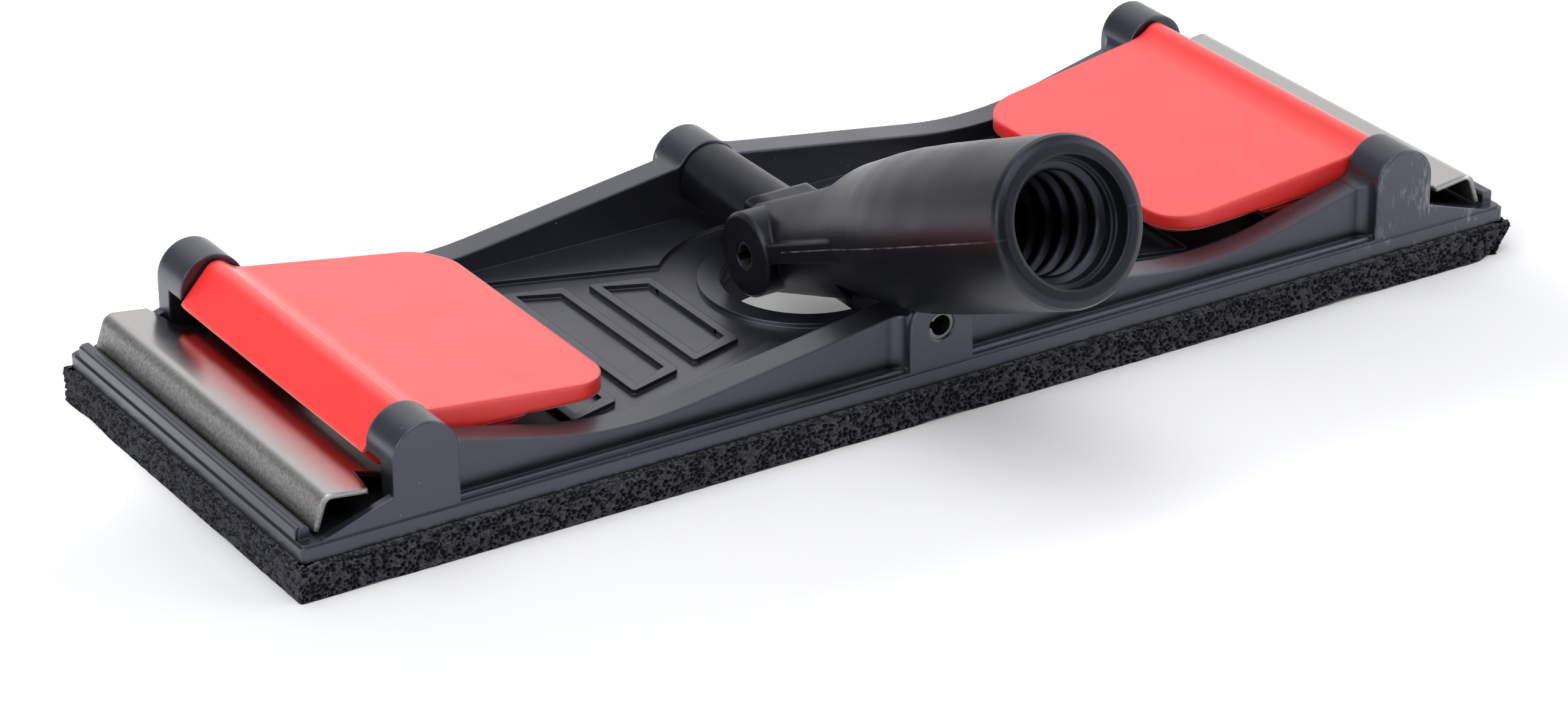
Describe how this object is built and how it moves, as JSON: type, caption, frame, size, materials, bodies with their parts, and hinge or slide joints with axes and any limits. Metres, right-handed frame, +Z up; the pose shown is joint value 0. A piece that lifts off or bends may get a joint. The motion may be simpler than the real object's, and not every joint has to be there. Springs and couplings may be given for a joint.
{
  "type": "pole drywall sander head",
  "caption": "Flat foam-backed sanding head with a cam lever and steel clamp plate at each end and a universal joint carrying a threaded pole socket.",
  "frame": {"origin": "centre of the underside of the foam pad", "axes": "+X along the plate, +Y across it away from the side the socket leans to, +Z up from the sanding face"},
  "size_m": [0.2378, 0.1233, 0.0604],
  "materials": {
    "foam": "open-cell foam, matt",
    "black_plastic": "moulded, fine grain",
    "joint_plastic": "moulded, satin",
    "red_plastic": "moulded, semi-gloss",
    "stainless_sheet": "brushed",
    "pin_steel": "dark spring steel"
  },
  "bodies": {
    "base": {"base_plate": "black_plastic", "foam_pad": "foam", "axle_pin_front": "pin_steel", "axle_pin_back": "pin_steel"},
    "yoke_body": {"yoke": "joint_plastic"},
    "socket_body": {"pole_socket": "joint_plastic", "fork_pin": "pin_steel"},
    "lever_left_body": {"clamp_lever_left": "red_plastic"},
    "lever_right_body": {"clamp_lever_right": "red_plastic"},
    "clamp_left_body": {"clamp_plate_left": "stainless_sheet"},
    "clamp_right_body": {"clamp_plate_right": "stainless_sheet"}
  },
  "joints": [
    {"name": "yoke_swing", "type": "hinge", "parent": "base", "child": "yoke_body", "pos_m": [0, 0, 0.016], "axis": [0, 1, 0], "range_deg": [-10, 10]},
    {"name": "socket_tilt", "type": "hinge", "parent": "yoke_body", "child": "socket_body", "pos_m": [0, 0, 0.016], "axis": [-1, 0, 0], "range_deg": [0, 120]},
    {"name": "lever_left_open", "type": "hinge", "parent": "base", "child": "lever_left_body", "pos_m": [-0.0954, 0, 0.0185], "axis": [0, -1, 0], "range_deg": [0, 120]},
    {"name": "lever_right_open", "type": "hinge", "parent": "base", "child": "lever_right_body", "pos_m": [0.0954, 0, 0.0185], "axis": [0, 1, 0], "range_deg": [0, 120]},
    {"name": "clamp_left_lift", "type": "hinge", "parent": "base", "child": "clamp_left_body", "pos_m": [-0.08, 0, 0.0089], "axis": [0, 1, 0], "range_deg": [0, 2.4]},
    {"name": "clamp_right_lift", "type": "hinge", "parent": "base", "child": "clamp_right_body", "pos_m": [0.08, 0, 0.0089], "axis": [0, -1, 0], "range_deg": [0, 2.4]}
  ],
  "couplings": [
    {"joint": "clamp_left_lift", "follows": "lever_left_open", "ratio": 0.02},
    {"joint": "clamp_right_lift", "follows": "lever_right_open", "ratio": 0.02}
  ]
}
